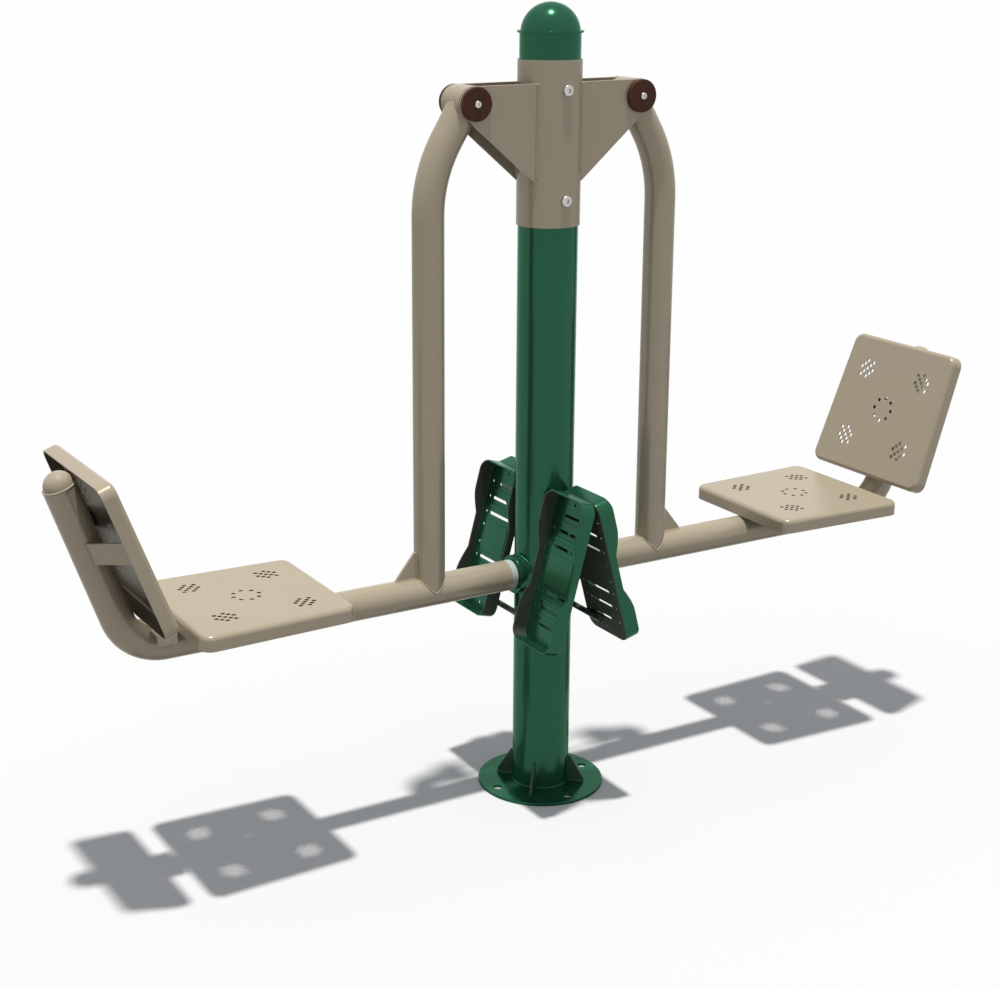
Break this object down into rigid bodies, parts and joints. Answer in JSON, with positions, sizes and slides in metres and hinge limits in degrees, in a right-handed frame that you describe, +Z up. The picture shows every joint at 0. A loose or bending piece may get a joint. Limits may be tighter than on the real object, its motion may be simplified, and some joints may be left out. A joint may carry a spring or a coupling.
{
  "type": "outdoor leg press machine",
  "caption": "Park leg press: seats with backrests hang on swing arms from a round post, and users push on its foot trays to swing themselves outward.",
  "frame": {"origin": "on the ground under the middle of the post", "axes": "+X towards the right seat, +Y across the seats, +Z up the post"},
  "size_m": [2.0036, 0.3732, 1.552],
  "materials": {
    "green_coat": "semi gloss",
    "taupe_coat": "satin",
    "steel": "bright",
    "brown_plastic": "satin",
    "bumper_rubber": "satin",
    "taupe_plastic": "satin"
  },
  "bodies": {
    "post": {"post_tube": "green_coat", "base_flange": "green_coat", "base_gussets": "green_coat", "head_sleeve": "taupe_coat", "sleeve_bolts": "steel", "sleeve_nuts": "steel", "post_cap": "green_coat", "left_front_ear": "taupe_coat", "left_rear_ear": "taupe_coat", "left_front_foot_plate": "green_coat", "left_rear_foot_plate": "green_coat", "left_stop_stub": "green_coat", "left_foot_bar": "green_coat", "left_pivot_shaft": "steel", "left_bearing_inner_rings": "steel", "left_bearing_spacers": "steel", "left_pivot_caps": "brown_plastic", "left_cap_screws": "steel", "right_front_ear": "taupe_coat", "right_rear_ear": "taupe_coat", "right_front_foot_plate": "green_coat", "right_rear_foot_plate": "green_coat", "right_stop_stub": "green_coat", "right_foot_bar": "green_coat", "right_pivot_shaft": "steel", "right_bearing_inner_rings": "steel", "right_bearing_spacers": "steel", "right_pivot_caps": "brown_plastic", "right_cap_screws": "steel"},
    "left_swing": {"left_pivot_housing": "taupe_coat", "left_bearing_outer_rings": "steel", "left_bearing_balls": "steel", "left_arm_tube": "taupe_coat", "left_arm_gusset": "taupe_coat", "left_beam_tube": "taupe_coat", "left_beam_bumper": "bumper_rubber", "left_upright_cap": "taupe_plastic", "left_seat_pan": "taupe_coat", "left_backrest_pan": "taupe_coat", "left_seat_brackets": "taupe_coat", "left_back_bracket": "taupe_coat", "left_saddle_plate": "taupe_coat", "left_pan_studs": "steel", "left_pan_nuts": "steel"},
    "right_swing": {"right_pivot_housing": "taupe_coat", "right_bearing_outer_rings": "steel", "right_bearing_balls": "steel", "right_arm_tube": "taupe_coat", "right_arm_gusset": "taupe_coat", "right_beam_tube": "taupe_coat", "right_beam_bumper": "bumper_rubber", "right_upright_cap": "taupe_plastic", "right_seat_pan": "taupe_coat", "right_backrest_pan": "taupe_coat", "right_seat_brackets": "taupe_coat", "right_back_bracket": "taupe_coat", "right_saddle_plate": "taupe_coat", "right_pan_studs": "steel", "right_pan_nuts": "steel"}
  },
  "joints": [
    {"name": "left_arm_pivot", "type": "hinge", "parent": "post", "child": "left_swing", "pos_m": [-0.1805, 0, 1.378], "axis": [0, 1, 0], "range_deg": [0, 28]},
    {"name": "right_arm_pivot", "type": "hinge", "parent": "post", "child": "right_swing", "pos_m": [0.1805, 0, 1.378], "axis": [0, -1, 0], "range_deg": [0, 28]}
  ]
}
